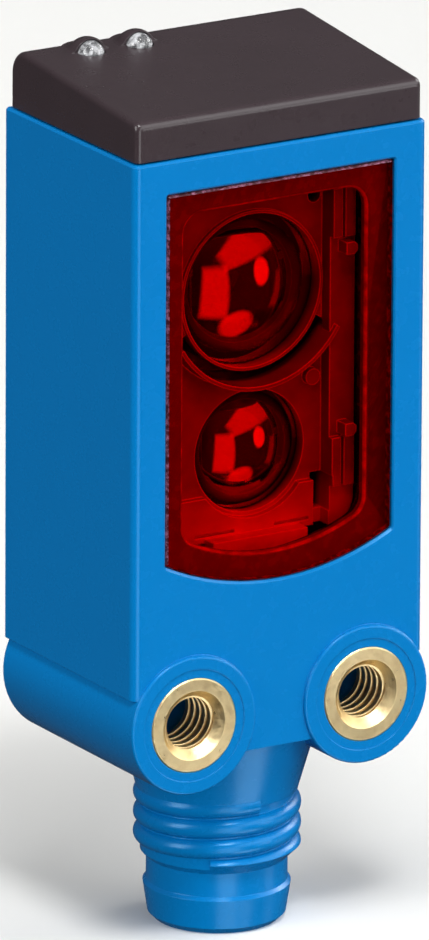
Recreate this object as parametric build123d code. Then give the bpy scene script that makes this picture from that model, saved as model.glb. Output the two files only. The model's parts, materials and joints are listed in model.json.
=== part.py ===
from build123d import *
import os
from math import asin, atan2, cos, degrees, radians, sin, sqrt, tan

# A miniature photoelectric sensor: moulded housing with two M3 inserts and an M8 plug.
#
# Frame, in millimetres: X runs across the sensor, Y from the front face to the back, and
# Z up to the cover. The origin lies midway between the axes of the two fixing threads,
# in the plane of the front faces of their bosses.

PAST = 1.0                  # how far a cutting shape runs past the face it cuts
BITE = 0.1                  # how far a joined shape runs into its neighbour

# ---- housing -------------------------------------------------------------------------
BODY_WIDTH = 16.0
BACK_Y = 12.1               # back face, so also the overall depth
FRONT_Y = 0.2               # front face; the bosses stand this far in front of it
BODY_TOP = 27.71            # rim of the shell, under the cover
SEAM_Z = 1.6                # lower edge of the flat side walls
WEB_BOTTOM = -1.8           # lower edge of the front face between the bosses
CORNER_R = 0.4              # vertical corners at the front
BACK_CORNER_R = 0.2
RIM_CHAMFER = 0.1
WALL_X = 6.9                # inner half width
FRONT_WALL_Y = 1.9          # inner face of the front wall
BACK_WALL_Y = 11.2          # inner face of the back wall
CAVITY_FLOOR = 3.6
CAVITY_CORNER_R = 0.5
RAIL_DEPTH = 0.6            # board guide rails on the side walls
RAIL_THICKNESS = 0.5
RAIL_TOP = 24.0

# ---- fixing bosses and inserts -------------------------------------------------------
THREAD_SPACING = 9.5
BOSS_R = 3.4
BOSS_EDGE_R = 0.12
BOSS_BACK_R = 0.3
SCREW_HOLE_R = 1.6          # clearance hole for M3 behind the insert
INSERT_FLANGE_R = 2.32
INSERT_FLANGE_T = 0.6
INSERT_EDGE = 0.07          # small chamfer on the flange
INSERT_BARREL_R = 2.05
INSERT_LENGTH = 2.95
INSERT_RECESS_R = 2.75      # shallow moulded recess round the flange
INSERT_RECESS = 0.05
M3_MINOR_R = 1.25
M3_MAJOR_R = 1.5
M3_PITCH = 0.5
M3_GROOVE_MOUTH = 0.45      # width of the thread groove at its mouth, in pitches
M3_GROOVE_ROOT = 0.12       # and at its root
COUNTERSINK_R = 1.7
COUNTERSINK_DEPTH = 0.45
KNURL_COUNT = 24
KNURL_R = 0.12
KNURL_LENGTH = 1.9

# ---- plug ----------------------------------------------------------------------------
PLUG_Y = 5.7                # plug axis, with x = 0
PLUG_END = -11.75
NECK_TOP_R = 4.85
NECK_END_R = 3.85
NECK_END = -5.3
M8_MAJOR_R = 4.0
M8_CORE_R = 3.66
M8_PITCH = 1.0
M8_CREST_WIDTH = 0.96       # width of the rounded ridge at its foot, in pitches
M8_TURNS = 3.1
M8_START = -5.25            # height of the thread's upper end, on the front
M8_END = -8.05              # where the lead-in cone starts
NOSE_R = 3.37
BEAD_R = 3.53
BEAD_Z = -10.0
TIP_R = 3.31
TIP_EDGE_R = 0.3
SOCKET_R = 2.8
SOCKET_TOP = -2.2           # shoulder above the contact carrier
STEM_HOLE_R = 2.15
KEY_WIDTH = 0.6
KEY_HEIGHT = 0.35
KEY_SETBACK = 0.3           # distance of the key's ends from the mouth and the floor

# ---- cover ---------------------------------------------------------------------------
COVER_INSET = 0.19
COVER_BOTTOM = 27.79
COVER_FRONT_TOP = 29.7
COVER_BACK_TOP = 30.75
COVER_FRONT_R = 0.4
COVER_BACK_R = 1.2
COVER_SIDE_R = 0.3
COVER_WALL = 1.0
SPIGOT_BOTTOM = 26.4
SPIGOT_WALL = 0.9
SPIGOT_GAP = 0.05
SPIGOT_CORNER_R = 0.45
GASKET_Z = 27.0
GASKET_HEIGHT = 0.5
GASKET_DEPTH = 0.4

# ---- indicator lights ----------------------------------------------------------------
LIGHT_X = (-4.75, -2.1)
LIGHT_Y = 9.7
PIPE_R = 0.66
PIPE_GAP = 0.05
PIPE_BOTTOM = 25.9
PIPE_SLEEVE = 0.5           # wall of the cover's sleeve round each pipe
DOME_RISE = 0.52            # height of the clear dome over the cover's top face
HOOD_R = 0.95
HOOD_RISE = 0.62
HOOD_BACK = 0.25            # the hood's centre lies this far behind the light's
HOOD_FLARE_R = 0.5          # concave blend between the hood and the cover
HOOD_SINK = 0.02            # the blend ends just under the cover's surface

# ---- window --------------------------------------------------------------------------
WINDOW_HALF = 6.17
WINDOW_TOP = 26.02
WINDOW_CORNER_Z = 8.0       # where the sides meet the curved lower edge
WINDOW_LOW_Z = 6.5          # lowest point of the curved edge
WINDOW_CORNER_R = 0.12
WINDOW_FACE = 0.25
PANE_THICKNESS = 0.5
PANE_CHAMFER = 0.1
POCKET_GAP = 0.06
POCKET_CHAMFER = 0.14
LEDGE_WIDTH = 0.9
LEDGE_CORNER_R = 1.3
SEAL_THICKNESS = 0.1
SEAL_LIP = 0.3              # width of the seal's lip, inside the ledge's inner edge
SEAL_LIP_HEIGHT = 0.4
SEAL_LIP_R = 0.2            # its rounded edge, seen through the pane

# ---- optics --------------------------------------------------------------------------
RECEIVER_Z = 19.9
EMITTER_Z = 12.0
PLATE_Y = 3.0               # front of the carrier round the lenses
CARRIER_BACK = 7.6
CARRIER_HALF = 5.3          # to the outer side of the pillar
FRAME_HALF = 4.9            # of the frame behind the pillar
CARRIER_Z = (7.9, 24.7)
CARRIER_CORNER_R = 1.3
FRAME_CORNER_R = 0.9
RECEIVER_LENS_R = 3.7
RECEIVER_DOME_R = 3.25
EMITTER_LENS_R = 2.95
EMITTER_DOME_R = 2.75
DOME_HEIGHT = 1.15
LENS_FLANGE = 0.6
LENS_SEAT_Y = 4.2
LENS_GAP = 0.04
TUNNEL_STEP = 0.4           # the light tunnels start this far inside the lens edges
RIM_HEIGHT = 0.2            # lip round the upper lens
RIM_WIDTH = 0.16
SCREEN_Z = 20.3             # centre of the curved light screen under the upper lens
SCREEN_R = 5.1
SCREEN_WALL = 0.2
SCREEN_FRONT = 2.0
SCREEN_SPAN = 118.0         # degrees
SHELF_FRONT = 2.65
SHELF_X = (-4.6, 3.35)
SHELF_TOP = 10.1
SHELF_RELIEF = 0.25         # clear ring between the shelf and the lower lens
SLIT_Z = 8.2
SLIT_HEIGHT = 0.16
SLIT_X = ((-3.2, -1.0), (1.2, 3.1))
PILLAR_IN = 3.95
PILLAR_FRONT = 2.25
PILLAR_ROOT = 0.5           # how deep the pillar's foot is sunk in the frame
CLIP_FRONT = 1.95
CLIP_BARS = ((3.95, 4.45), (4.6, 5.15))
CLIP_LENGTH = 2.4
CLIP_GAP = 0.16
CLIP_TOOTH = (4.4, 5.0)
CLIP_TOOTH_FRONT = 1.5
CLIP_TOOTH_HEIGHT = 0.6
CLIP_TOOTH_CHAMFER = 0.15
CLIP_Z = (21.9, 12.4)       # roots of the upper and lower clips
CARRIER_LUGS = ((24.5, 25.9), (6.7, 8.1))   # where the carrier meets the front wall
LUG_HALF = 2.6
POCKET_X = (3.35, 4.0)      # dark pocket between the shelf and the pillar
POCKET_Z = (8.6, 10.4)
POCKET_BACK = 4.8
GATE_X = 3.5                # small hole near the top right corner
GATE_Z = 24.0
GATE_R = 0.35
PEG_X = 3.3                 # peg between the lenses, right of the light screen
PEG_Z = 15.2
PEG_R = 0.4
CHAMBER_HALF = 2.3          # pocket for the receiver's shield
CHAMBER_Y = 6.0
SHIELD_T = 0.15
APERTURE_T = 0.2
APERTURE_R = 0.8
SHIELD_HOLE_R = 1.0
TUNNEL_END_R = 1.4          # of the receiver's light tunnel
EMITTER_CHAMBER_HALF = 1.5
EMITTER_CHAMBER_Y = 6.6
EMITTER_TUNNEL_END_R = 1.2

# ---- electronics ---------------------------------------------------------------------
BOARD_T = 0.8
OPTICS_BOARD_HALF = 5.6
OPTICS_BOARD_Z = (8.6, 24.6)
OPTICS_BOARD_CORNER_R = 0.5
MAIN_BOARD_Y = 10.0
MAIN_BOARD_HALF = 6.8
MAIN_BOARD_Z = (4.6, 25.7)
MAIN_BOARD_CORNER_R = 0.4
CONNECTOR_BOARD_Z = 3.9
CONNECTOR_BOARD_T = 0.6
CONNECTOR_BOARD_HALF = 3.4
CONNECTOR_BOARD_Y = (3.0, 8.6)
CONNECTOR_BOARD_CORNER_R = 0.4
FLEX_X = (0.9, 5.1)
FLEX_T = 0.12
FLEX_BEND_Z = 23.8
FLEX_FOOT_Z = 21.6
CHIP_EDGE = 0.08            # softened upright edges of the chip packages
CHIP_T = 0.85
PIN_ONE_MARK_R = 0.2
PIN_ONE_MARK_DEPTH = 0.05
PIN_ONE_MARK_INSET = 0.6
LEAD_WIDTH = 0.3
LEAD_T = 0.15
LEAD_REACH = 0.4            # from the chip's side to the end of a lead's foot
LEAD_HEIGHT = 0.5           # of the lead's arm above the board
CONTROLLER_PLACE = (2.9, 16.6)
CONTROLLER_SIZE = 4.0
DRIVER_PLACE = (-3.2, 12.4)
DRIVER_SIZE = (2.4, 3.2)
DRIVER_LEADS = 4
DRIVER_PITCH = 0.8
REGULATOR_PLACE = (3.4, 11.2)
REGULATOR_SIZE = (1.6, 2.0)
REGULATOR_LEADS = 3
REGULATOR_PITCH = 0.7
CAPACITOR_COLUMNS = (-4.4, -2.2)
CAPACITOR_ROWS = (18.6, 17.0)
FILTER_COLUMN = 0.4         # two more capacitors beside the output driver
FILTER_ROWS = (12.6, 11.0)
CAPACITOR_SIZE = (1.6, 0.75, 0.8)
RECEIVER_CHIP_SIZE = (3.0, 0.8, 2.6)
RECEIVER_DIE_HALF = 0.6     # raised square over the light-sensitive area
RECEIVER_DIE_RISE = 0.1
EMITTER_SIZE = (2.0, 0.6, 1.6)
EMITTER_DOME_BALL = 0.5
INDICATOR_SIZE = (1.6, 0.9, 1.0)
INDICATOR_LENS = (1.1, 0.55, 0.1)
INDICATOR_GAP = 0.05        # between the indicator's lens and the light pipe
WIRE_R = 0.28
WIRE_X = (-2.4, -0.8, 0.8, 2.4)
WIRE_INSET = 0.6            # from the connector board's back edge
WIRE_RISE = 1.6
WIRE_BEND_R = 0.8

# ---- contacts ------------------------------------------------------------------------
PIN_R = 0.5
PIN_TIP_R = 0.35
PIN_TAIL_R = 0.35
PIN_TIP = -10.7
PIN_SHOULDER = -4.6
PIN_TAIL_TOP = 5.1
PIN_PLACES = ((-1.0, -1.19), (1.0, -1.19), (1.19, 1.0), (-1.19, 1.0))
FLANGE_R = 2.75
FLANGE_CHAMFER = 0.12
STEM_R = 2.1
SEAL_Z = -3.4
SEAL_R = 0.3


# ---- shape helpers -------------------------------------------------------------------

def around(middle, size):
    """The (low, high) extent of a given size about its middle."""
    return middle - size / 2, middle + size / 2


def block(x, y, z):
    """A box given by its (low, high) extent along each axis."""
    size = [high - low for low, high in (x, y, z)]
    middle = [(high + low) / 2 for low, high in (x, y, z)]
    return Pos(*middle) * Box(*size)


def rounded_block(x, y, z, radius):
    """A box with rounded vertical corners."""
    middle = Pos((x[0] + x[1]) / 2, (y[0] + y[1]) / 2, z[0])
    outline = RectangleRounded(x[1] - x[0], y[1] - y[0], radius)
    return middle * extrude(outline, amount=z[1] - z[0])


def rod_z(x, y, radius, low, high):
    """A cylinder along Z."""
    return Pos(x, y, (low + high) / 2) * Cylinder(radius, high - low)


def rod_y(x, z, radius, front, back):
    """A cylinder along Y."""
    return Pos(x, (front + back) / 2, z) * Rot(90, 0, 0) * Cylinder(radius, back - front)


def rod_x(y, z, radius, x):
    """A cylinder along X, between two places given as (low, high)."""
    return Pos((x[0] + x[1]) / 2, y, z) * Rot(0, 90, 0) * Cylinder(radius, x[1] - x[0])


def cone_y(x, z, front_radius, back_radius, front, back):
    """A cone along Y."""
    cone = Rot(90, 0, 0) * Cone(back_radius, front_radius, back - front)
    return Pos(x, (front + back) / 2, z) * cone


def slab(sketch, front, back):
    """A front-view outline (X, Z) given thickness between two depths."""
    return Pos(0, back, 0) * extrude(Plane.XZ * sketch, amount=back - front)


def turned(points, x, y):
    """A solid of revolution about a vertical axis, from (radius, height) points."""
    outline = Plane.XZ * make_face(Polyline(*points, close=True))
    return Pos(x, y, 0) * revolve(outline, Axis.Z)


def helical_ridge(profile, radius, pitch, turns):
    """A thread ridge: a profile, drawn as (radius, height), swept up a helix."""
    path = Helix(pitch=pitch, height=pitch * turns, radius=radius)
    return sweep(Plane.XZ * profile, path=path, is_frenet=True)


# ---- housing -------------------------------------------------------------------------

def window_outline(inset, corner_radius):
    """Front view of the window: straight top and sides, curved lower edge."""
    half = WINDOW_HALF - inset
    top = WINDOW_TOP - inset
    corner = WINDOW_CORNER_Z + inset * 0.8
    low = WINDOW_LOW_Z + inset
    sides = Polyline((-half, corner), (-half, top), (half, top), (half, corner))
    lower_edge = ThreePointArc((half, corner), (0, low), (-half, corner))
    outline = make_face(sides + lower_edge)
    return fillet(outline.vertices(), corner_radius)


def boss(side):
    """Round boss along the whole depth, with softened edges."""
    shape = rod_y(side * THREAD_SPACING / 2, 0, BOSS_R, 0, BACK_Y)
    shape = fillet(shape.edges().group_by(Axis.Y)[-1], BOSS_BACK_R)
    return fillet(shape.edges().group_by(Axis.Y)[0], BOSS_EDGE_R)


def threaded_barrel():
    """The M8 x 1 thread, starting bluntly on the front and cut back by a lead-in cone."""
    half = M8_CREST_WIDTH * M8_PITCH / 2
    base = M8_CORE_R - BITE
    crest = ThreePointArc((base, -half), (M8_MAJOR_R, 0), (base, half))
    profile = make_face(crest + Line((base, half), (base, -half)))
    ridge = helical_ridge(profile, base, M8_PITCH, M8_TURNS)
    start_turn = -90 - 360 * (M8_TURNS % 1)
    ridge = Pos(0, 0, M8_START - M8_TURNS * M8_PITCH) * Rot(0, 0, start_turn) * ridge
    barrel = rod_z(0, 0, M8_CORE_R, PLUG_END, NECK_END + PAST) + ridge
    lead_in_end = M8_END - (M8_MAJOR_R - NOSE_R)
    root = NECK_END + PAST - BITE
    reach = M8_MAJOR_R + BITE
    bottom = lead_in_end - 2 * BITE
    envelope = turned([(0, root), (reach, root), (reach, M8_END + BITE),
                       (NOSE_R, lead_in_end), (NOSE_R, bottom), (0, bottom)], 0, 0)
    return Pos(0, PLUG_Y, 0) * (barrel & envelope)


def neck():
    """Cone between the body and the thread."""
    root = WEB_BOTTOM + PAST
    return turned([(0, root), (NECK_TOP_R, root), (NECK_TOP_R, WEB_BOTTOM),
                   (NECK_END_R, NECK_END), (0, NECK_END)], 0, PLUG_Y)


def nose():
    """Smooth end of the plug with its snap bead and tapered tip."""
    step = BEAD_R - NOSE_R
    top = M8_END - (M8_MAJOR_R - NOSE_R)
    return turned([(0, top), (NOSE_R, top), (NOSE_R, BEAD_Z + step), (BEAD_R, BEAD_Z),
                   (TIP_R, PLUG_END + TIP_EDGE_R), (TIP_R - TIP_EDGE_R, PLUG_END), (0, PLUG_END)],
                  0, PLUG_Y)


def socket_key():
    """Rib along the front of the plug's bore that keys the cable socket."""
    front = PLUG_Y - SOCKET_R
    return block(around(0, KEY_WIDTH), (front - BITE, front + KEY_HEIGHT),
                 (PLUG_END + KEY_SETBACK, PIN_SHOULDER - KEY_SETBACK))


def insert_seat(side):
    """Stepped hole through a boss: recess, flange seat, barrel and screw clearance."""
    x = side * THREAD_SPACING / 2
    seat = rod_y(x, 0, INSERT_RECESS_R, -PAST, INSERT_RECESS)
    seat += rod_y(x, 0, INSERT_FLANGE_R, -PAST, INSERT_FLANGE_T)
    seat += rod_y(x, 0, INSERT_BARREL_R, 0, INSERT_LENGTH)
    return seat + rod_y(x, 0, SCREW_HOLE_R, 0, BACK_Y + PAST)


def window_pocket():
    """Recess for the pane, with a flared mouth, and the opening behind it."""
    pane_back = WINDOW_FACE + PANE_THICKNESS + SEAL_THICKNESS
    recess = slab(window_outline(-POCKET_GAP, WINDOW_CORNER_R), FRONT_Y - PAST, pane_back)
    mouth = slab(window_outline(-POCKET_GAP - POCKET_CHAMFER, WINDOW_CORNER_R + POCKET_CHAMFER),
                 FRONT_Y - PAST, FRONT_Y + BITE)
    mouth = chamfer(mouth.faces().sort_by(Axis.Y)[-1].edges(), POCKET_CHAMFER)
    opening = slab(window_outline(LEDGE_WIDTH, LEDGE_CORNER_R), FRONT_Y, FRONT_WALL_Y + BITE)
    return recess + mouth + opening


def guide_rails():
    """Ribs on both side walls that hold the main board's long edges."""
    height = (CAVITY_FLOOR - BITE, RAIL_TOP)
    front_rib = (MAIN_BOARD_Y - RAIL_THICKNESS, MAIN_BOARD_Y)
    back_rib = (MAIN_BOARD_Y + BOARD_T, BACK_WALL_Y + BITE)
    rails = []
    for side in (-1, 1):
        x = sorted((side * (WALL_X - RAIL_DEPTH), side * (WALL_X + BITE)))
        rails.append(block(x, front_rib, height))
        rails.append(block(x, back_rib, height))
    return rails


def housing():
    """The blue shell: body, bosses, neck and plug, with its cavity and openings."""
    half = BODY_WIDTH / 2
    shell = block((-half, half), (FRONT_Y, BACK_Y), (SEAM_Z, BODY_TOP))
    upright = shell.edges().filter_by(Axis.Z).group_by(Axis.Y)
    shell = fillet(upright[0], CORNER_R)
    upright = shell.edges().filter_by(Axis.Z).group_by(Axis.Y)
    shell = fillet(upright[-1], BACK_CORNER_R)
    shell = chamfer(shell.edges().group_by(Axis.Z)[-1], RIM_CHAMFER)
    shell += block(around(0, THREAD_SPACING), (FRONT_Y, BACK_Y), (WEB_BOTTOM, SEAM_Z + BITE))
    shell += boss(-1)
    shell += boss(1)
    shell += neck()
    shell += threaded_barrel() + nose()
    shell -= rounded_block((-WALL_X, WALL_X), (FRONT_WALL_Y, BACK_WALL_Y),
                           (CAVITY_FLOOR, BODY_TOP + PAST), CAVITY_CORNER_R)
    for rail in guide_rails():
        shell += rail
    shell -= rod_z(0, PLUG_Y, STEM_HOLE_R, SOCKET_TOP - BITE, CAVITY_FLOOR + BITE)
    shell -= rod_z(0, PLUG_Y, SOCKET_R, PLUG_END - PAST, SOCKET_TOP)
    shell += socket_key()
    shell -= insert_seat(-1)
    shell -= insert_seat(1)
    shell -= window_pocket()
    return shell


# ---- fixing inserts ------------------------------------------------------------------

def m3_tap():
    """The shape of an M3 screw thread, longer than the insert, as a tool that cuts it."""
    mouth = M3_GROOVE_MOUTH * M3_PITCH / 2
    root = M3_GROOVE_ROOT * M3_PITCH / 2
    inner = M3_MINOR_R - BITE / 2
    ridge = make_face(Polyline((inner, -mouth), (M3_MAJOR_R, -root), (M3_MAJOR_R, root),
                               (inner, mouth), close=True))
    turns = INSERT_LENGTH / M3_PITCH + 2
    ridge = Pos(0, 0, -M3_PITCH) * helical_ridge(ridge, inner, M3_PITCH, turns)
    return rod_z(0, 0, M3_MINOR_R, -PAST, INSERT_LENGTH + PAST) + ridge


def thread_insert(side):
    """Flanged brass insert with an M3 thread, pressed in from the front of a boss."""
    body = turned([(0, 0), (INSERT_FLANGE_R - INSERT_EDGE, 0), (INSERT_FLANGE_R, INSERT_EDGE),
                   (INSERT_FLANGE_R, INSERT_FLANGE_T), (INSERT_BARREL_R, INSERT_FLANGE_T),
                   (INSERT_BARREL_R, INSERT_LENGTH), (0, INSERT_LENGTH)], 0, 0)
    body -= m3_tap()
    body -= turned([(0, -PAST), (COUNTERSINK_R, -PAST), (COUNTERSINK_R, 0),
                    (M3_MINOR_R, COUNTERSINK_DEPTH), (0, COUNTERSINK_DEPTH)], 0, 0)
    for notch in PolarLocations(INSERT_BARREL_R + KNURL_R / 2, KNURL_COUNT):
        body -= notch * Pos(0, 0, INSERT_LENGTH) * Cylinder(KNURL_R, 2 * KNURL_LENGTH)
    return Pos(side * THREAD_SPACING / 2, 0, 0) * Rot(-90, 0, 0) * body


# ---- cover ---------------------------------------------------------------------------

COVER_FRONT = FRONT_Y + COVER_INSET
COVER_BACK = BACK_Y - COVER_INSET
COVER_RISE = COVER_BACK_TOP - COVER_FRONT_TOP


def cover_top(y):
    """Height of the cover's sloping top at a given depth."""
    return COVER_FRONT_TOP + COVER_RISE * (y - COVER_FRONT) / (COVER_BACK - COVER_FRONT)


def dome_ball(radius, rise):
    """Radius of the ball whose cap has the given base radius and height."""
    return (radius ** 2 + rise ** 2) / (2 * rise)


def indicator_hood(x):
    """Half dome that shades the back of an indicator light and flares into the cover."""
    ball = dome_ball(HOOD_R, HOOD_RISE)
    lean = asin(HOOD_R / ball)
    skirt = HOOD_R + HOOD_FLARE_R * tan(lean / 2) + HOOD_SINK
    shoulder = (ball * sin(lean / 2), HOOD_RISE - ball + ball * cos(lean / 2))
    dome = ThreePointArc((HOOD_R, 0), shoulder, (0, HOOD_RISE))
    base = Polyline((0, HOOD_RISE), (0, -COVER_WALL / 2), (skirt, -COVER_WALL / 2), (skirt, 0),
                    (HOOD_R, 0))
    outline = make_face(dome + base)
    crease = outline.vertices().sort_by_distance((HOOD_R, 0))[0]
    outline = fillet(crease, HOOD_FLARE_R)
    hood = revolve(Plane.XZ * outline, Axis.Z)
    slope = degrees(atan2(COVER_RISE, COVER_BACK - COVER_FRONT))
    y = LIGHT_Y + HOOD_BACK
    hood = Pos(x, y, cover_top(y) - HOOD_SINK) * Rot(slope, 0, 0) * hood
    return hood & block(around(x, 4 * HOOD_R), (LIGHT_Y, COVER_BACK - BITE),
                        (COVER_FRONT_TOP - COVER_WALL, COVER_BACK_TOP + 2 * HOOD_RISE))


def light_pipe(x, gap=0.0):
    """Clear rod with a domed end; with a gap, the hole that it passes through."""
    ball = dome_ball(PIPE_R, DOME_RISE)
    centre = cover_top(LIGHT_Y) + DOME_RISE - ball
    lean = asin(PIPE_R / ball)
    ball += gap
    reach = PIPE_R + gap
    shoulder = centre + sqrt(ball ** 2 - reach ** 2)
    halfway = (ball * sin(lean / 2), centre + ball * cos(lean / 2))
    dome = ThreePointArc((reach, shoulder), halfway, (0, centre + ball))
    sides = Polyline((0, centre + ball), (0, PIPE_BOTTOM), (reach, PIPE_BOTTOM), (reach, shoulder))
    outline = Plane.XZ * make_face(dome + sides)
    return Pos(x, LIGHT_Y, 0) * revolve(outline, Axis.Z)


def cap_block():
    """Outer shape of the cover above its joint with the shell."""
    half = BODY_WIDTH / 2 - COVER_INSET
    side_view = make_face(Polyline((COVER_FRONT, COVER_BOTTOM), (COVER_FRONT, COVER_FRONT_TOP),
                                   (COVER_BACK, COVER_BACK_TOP), (COVER_BACK, COVER_BOTTOM),
                                   close=True))
    side_view = fillet(side_view.vertices().sort_by(Axis.Y)[-1], COVER_BACK_R)
    side_view = fillet(side_view.vertices().group_by(Axis.X)[0].sort_by(Axis.Y)[-1], COVER_FRONT_R)
    cap = Pos(-half, 0, 0) * extrude(Plane.YZ * side_view, amount=2 * half)
    side_edges = cap.edges().group_by(Axis.X)[0] + cap.edges().group_by(Axis.X)[-1]
    lowest = cap.edges().group_by(Axis.Z)[0]
    return fillet([edge for edge in side_edges if edge not in lowest], COVER_SIDE_R)


def gasket_ring(outer_margin):
    """Rectangular ring in the spigot's groove; the margin carries a cutter past the wall."""
    z = (GASKET_Z, GASKET_Z + GASKET_HEIGHT)
    outer_half = WALL_X + outer_margin
    depth = (FRONT_WALL_Y - outer_margin, BACK_WALL_Y + outer_margin)
    outer = rounded_block((-outer_half, outer_half), depth, z, CAVITY_CORNER_R)
    inner_half = WALL_X - GASKET_DEPTH
    depth = (FRONT_WALL_Y + GASKET_DEPTH, BACK_WALL_Y - GASKET_DEPTH)
    return outer - rounded_block((-inner_half, inner_half), depth, (z[0] - PAST, z[1] + PAST),
                                 CAVITY_CORNER_R - GASKET_DEPTH / 2)


def cover_gasket():
    """Soft ring that seals the spigot against the shell's inner wall."""
    return gasket_ring(0.0)


def cover_hollow(low, high):
    """Space inside the spigot, between two heights."""
    half = WALL_X - SPIGOT_GAP - SPIGOT_WALL
    depth = (FRONT_WALL_Y + SPIGOT_GAP + SPIGOT_WALL, BACK_WALL_Y - SPIGOT_GAP - SPIGOT_WALL)
    return rounded_block((-half, half), depth, (low, high), SPIGOT_CORNER_R / 2)


def spigot():
    """Rim under the cover that plugs into the shell, with its gasket groove."""
    half = WALL_X - SPIGOT_GAP
    depth = (FRONT_WALL_Y + SPIGOT_GAP, BACK_WALL_Y - SPIGOT_GAP)
    rim = rounded_block((-half, half), depth, (SPIGOT_BOTTOM, COVER_BOTTOM + BITE), SPIGOT_CORNER_R)
    return rim - gasket_ring(PAST)


def top_cover():
    """Dark cover: sloping top, rounded edges, two hoods and a hollow spigot."""
    cover = cap_block() + spigot()
    cover -= cover_hollow(SPIGOT_BOTTOM - PAST, COVER_FRONT_TOP - COVER_WALL)
    for x in LIGHT_X:
        cover += rod_z(x, LIGHT_Y, PIPE_R + PIPE_SLEEVE, COVER_BOTTOM, COVER_FRONT_TOP)
        cover += indicator_hood(x)
    for x in LIGHT_X:
        cover -= light_pipe(x, PIPE_GAP)
    return cover


# ---- window --------------------------------------------------------------------------

def front_window():
    """Dark-red pane with a small bevel round its front face."""
    pane = slab(window_outline(0, WINDOW_CORNER_R), WINDOW_FACE, WINDOW_FACE + PANE_THICKNESS)
    return chamfer(pane.faces().sort_by(Axis.Y)[0].edges(), PANE_CHAMFER)


def window_seal():
    """Adhesive bed on the ledge, with a rounded lip over the ledge's inner edge."""
    front = WINDOW_FACE + PANE_THICKNESS
    opening = window_outline(LEDGE_WIDTH, LEDGE_CORNER_R)
    bed = slab(window_outline(0, WINDOW_CORNER_R), front, front + SEAL_THICKNESS)
    bed -= slab(opening, front - PAST, front + PAST)
    lip = slab(opening, front, front + SEAL_LIP_HEIGHT)
    lip -= slab(window_outline(LEDGE_WIDTH + SEAL_LIP, LEDGE_CORNER_R - SEAL_LIP),
                front - PAST, front + PAST)
    lip = fillet(lip.faces().sort_by(Axis.Y)[0].inner_wires()[0].edges(), SEAL_LIP_R)
    return bed + lip


# ---- optics --------------------------------------------------------------------------

def domed_lens(z, flange_radius, dome_radius):
    """Plano-convex lens: a flat flange with a dome that faces the window."""
    front = LENS_SEAT_Y - LENS_FLANGE
    ball = dome_ball(dome_radius, DOME_HEIGHT)
    dome = Pos(0, front - DOME_HEIGHT + ball, z) * Sphere(ball)
    dome &= rod_y(0, z, dome_radius + BITE, front - DOME_HEIGHT - PAST, front + BITE)
    return rod_y(0, z, flange_radius, front, LENS_SEAT_Y) + dome


def sector(z, radius, span, front, back):
    """Disc sector about a point on the centre line, opening downwards."""
    half = radians(span / 2)
    reach = 2 * radius
    outline = make_face(Polyline((0, z), (-reach * sin(half), z - reach * cos(half)),
                                 (0, z - 2 * reach), (reach * sin(half), z - reach * cos(half)),
                                 close=True))
    return slab(outline, front, back) & rod_y(0, z, radius, front, back)


def light_screen():
    """Curved wall under the upper lens that keeps the two light paths apart."""
    ring = sector(SCREEN_Z, SCREEN_R, SCREEN_SPAN, SCREEN_FRONT, PLATE_Y + BITE)
    return ring - rod_y(0, SCREEN_Z, SCREEN_R - SCREEN_WALL, SCREEN_FRONT - PAST, PLATE_Y + PAST)


def screen_trench():
    """Crescent gap between the light screen and the upper lens."""
    floor = LENS_SEAT_Y + PAST
    gap = sector(SCREEN_Z, SCREEN_R - SCREEN_WALL, SCREEN_SPAN, PLATE_Y - BITE, floor)
    keep = RECEIVER_LENS_R + LENS_GAP + RIM_WIDTH
    return gap - rod_y(0, RECEIVER_Z, keep, PLATE_Y - PAST, floor + PAST)


def lens_rim():
    """Raised lip round the upper lens."""
    radius = RECEIVER_LENS_R + LENS_GAP
    lip = rod_y(0, RECEIVER_Z, radius + RIM_WIDTH, PLATE_Y - RIM_HEIGHT, PLATE_Y)
    return lip - rod_y(0, RECEIVER_Z, radius, PLATE_Y - PAST, PLATE_Y + PAST)


def shelf():
    """Raised step under the lower lens, with two narrow slits."""
    step = block(SHELF_X, (SHELF_FRONT, PLATE_Y), (CARRIER_Z[0], SHELF_TOP))
    step -= rod_y(0, EMITTER_Z, EMITTER_LENS_R + SHELF_RELIEF, SHELF_FRONT - PAST, PLATE_Y + PAST)
    for x in SLIT_X:
        step -= block(x, (SHELF_FRONT - PAST, PLATE_Y - BITE), (SLIT_Z, SLIT_Z + SLIT_HEIGHT))
    return step


def clip(root, direction):
    """Snap clip on the pillar: two bars and a tooth, running up or down from its root."""
    back = PILLAR_FRONT + BITE
    bar_ends = sorted((root + direction * CLIP_GAP, root + direction * (CLIP_GAP + CLIP_LENGTH)))
    tooth_ends = sorted((root, root - direction * CLIP_TOOTH_HEIGHT))
    bars = [block(x, (CLIP_FRONT, back), bar_ends) for x in CLIP_BARS]
    tooth = block(CLIP_TOOTH, (CLIP_TOOTH_FRONT, back), tooth_ends)
    tooth = chamfer(tooth.edges().filter_by(Axis.Y).group_by(Axis.X)[-1], CLIP_TOOTH_CHAMFER)
    return bars + [tooth]


def carrier_outline(half, corner_radius):
    """Front view of the carrier, as a rounded rectangle of the given half width."""
    bottom, top = CARRIER_Z
    return Pos(0, (bottom + top) / 2) * RectangleRounded(2 * half, top - bottom, corner_radius)


def pillar():
    """Upright strip beside the lenses that carries both clips."""
    strip = slab(carrier_outline(CARRIER_HALF, CARRIER_CORNER_R), PILLAR_FRONT, PLATE_Y + PILLAR_ROOT)
    strip &= block((PILLAR_IN, WALL_X), (0, CARRIER_BACK), (CARRIER_Z[0] - PAST, CARRIER_Z[1] + PAST))
    for root, direction in zip(CLIP_Z, (1, -1)):
        for piece in clip(root, direction):
            strip += piece
    return strip


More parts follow.
